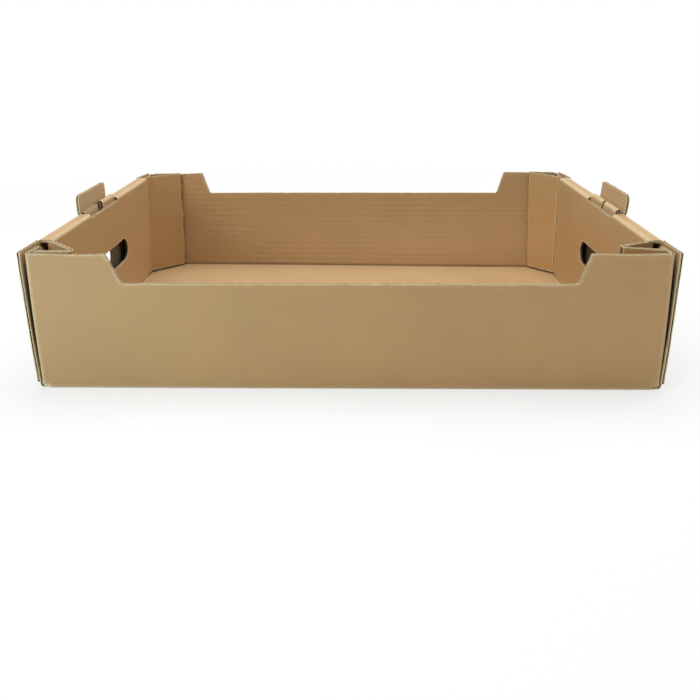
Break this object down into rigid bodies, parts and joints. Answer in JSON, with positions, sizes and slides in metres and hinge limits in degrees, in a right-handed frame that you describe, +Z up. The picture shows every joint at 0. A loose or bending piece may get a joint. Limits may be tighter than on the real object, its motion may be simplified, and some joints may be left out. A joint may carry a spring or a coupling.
{
  "type": "cardboard tray box",
  "caption": "Open stacking tray folded from one sheet of corrugated board, with cut-down long walls, hollow end walls with hand holes, corner posts and stacking tabs.",
  "frame": {"origin": "middle of the tray's outer size, on the underside of the floor", "axes": "+X along the length towards the right end wall, +Y from the front wall to the rear wall, +Z up"},
  "size_m": [0.6002, 0.4001, 0.1575],
  "materials": {
    "board": "matte kraft liner with open flutes at the cut edges"
  },
  "bodies": {
    "root": {"tray": "board"}
  },
  "joints": []
}
